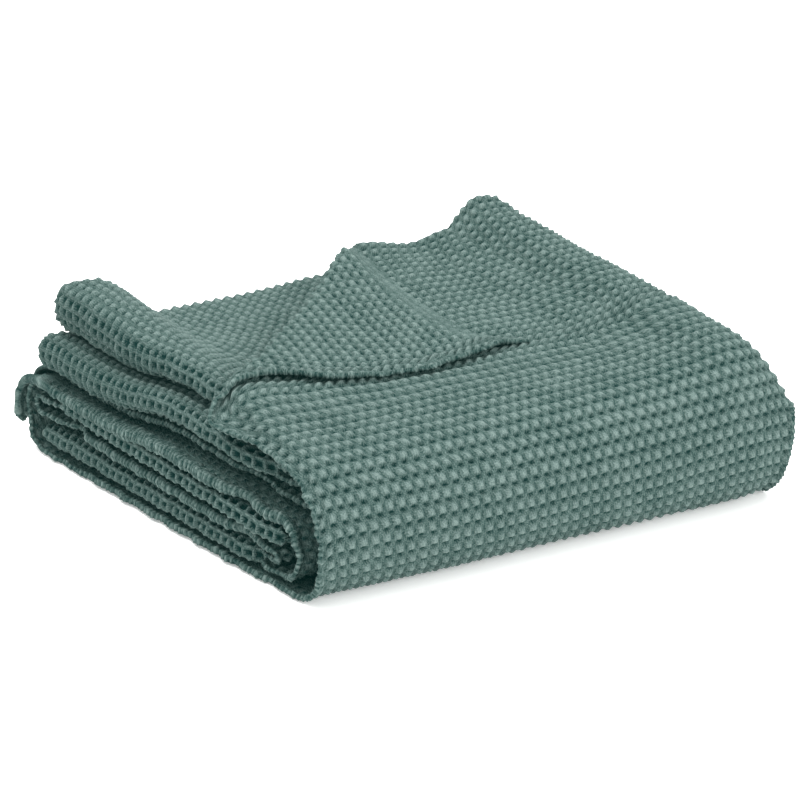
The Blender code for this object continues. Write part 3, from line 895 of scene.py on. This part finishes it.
def outer_grids():
    """Grids of the cloth's outer stretch: round the back, along the floor, up the front, over."""
    below = flat_rows("middle_pair_top", PAIR_BACK).then(fold_rows("middle_pair_top"))
    below = below.then(flat_rows("bottom"))
    front, over = fold_rows("bottom"), flat_rows("top")
    rows = below.then(front).then(over)
    shows = (np.arange(len(rows.v)) >= len(below.v)).astype(float)[:, None]
    whole = open_sheet(rows, shows, SKIN, True)
    nose, half = len(below.v) + len(front.v) // 2, whole.spots.shape[1] // 2
    down = whole.down - whole.down[nose:nose + 1]
    askew = ASKEW * np.sin(2 * pi * down / ASKEW_RUN)
    whole = whole._replace(down=down, across=whole.across + askew)
    start, end = len(below.v), len(below.v) + len(front.v)
    top = cut(whole, slice(end, None))
    return {
        "bottom_layer": cut(whole, slice(0, start + 1)),
        "front_fold": cut(whole, slice(start, end + 1)),
        "top_layer_left": Grid(*(field[:, :half + 1] for field in top)),
        "top_layer_right": Grid(*(field[:, half:] for field in top)),
    }


def blanket():
    """The pieces of the cloth, each woven and attached to the root body, with the CAD part hidden.
    """
    tree, cotton = weave_tree(), waffle_cotton()
    for name, grid in {**inner_grids(), **outer_grids()}.items():
        piece = woven(mesh_of(name, grid), tree, cotton)
        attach(piece, "root")
        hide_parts("blanket")


# ---- Floor, light and camera ----
def studio():
    """Pale floor, even light from the room and two soft lamps."""
    bpy.ops.mesh.primitive_plane_add(size=12.0, location=(0.0, 0.0, 0.0))
    floor = bpy.context.object
    floor.name = "floor"
    floor.data.materials.append(pale_floor())
    world = bpy.data.worlds.new("studio")
    bpy.context.scene.world = world
    world.use_nodes = True
    tree = world.node_tree
    way = add(tree, "ShaderNodeTexCoord").outputs["Generated"]
    up = add(tree, "ShaderNodeSeparateXYZ", (way,)).outputs[2]
    above = add(tree, MATH, (up, 0.0), operation="MAXIMUM")
    light = add(tree, MATH, (above, SKY_LIGHT, SIDE_LIGHT), operation="MULTIPLY_ADD")
    tree.links.new(light.outputs[0], tree.nodes["Background"].inputs["Strength"])
    tree.nodes["Background"].inputs["Color"].default_value = (1.0, 1.0, 1.0, 1.0)
    for name, place, size, power in LAMPS:
        data = bpy.data.lights.new(name, "AREA")
        data.shape, data.size, data.energy = "DISK", size, power
        lamp = bpy.data.objects.new(name, data)
        lamp.location = place
        lamp.rotation_euler = (VIEW_AIM - Vector(place)).to_track_quat("-Z", "Y").to_euler()
        bpy.context.scene.collection.objects.link(lamp)


def camera():
    """The view from the left of the front, a little from above."""
    bpy.context.scene.view_settings.view_transform = "Standard"
    data = bpy.data.cameras.new("camera")
    data.lens, data.sensor_width = VIEW_LENS, 36.0
    data.shift_x, data.shift_y = VIEW_SHIFT
    data.clip_start, data.clip_end = 0.1, 50.0
    seen = bpy.data.objects.new("camera", data)
    turn, rise = radians(VIEW_TURN), radians(VIEW_RISE)
    back = Vector((sin(turn) * cos(rise), -cos(turn) * cos(rise), sin(rise)))
    seen.location = VIEW_AIM + back * VIEW_FAR
    seen.rotation_euler = (-back).to_track_quat("-Z", "Y").to_euler()
    bpy.context.scene.collection.objects.link(seen)
    bpy.context.scene.camera = seen


camera()
studio()
blanket()
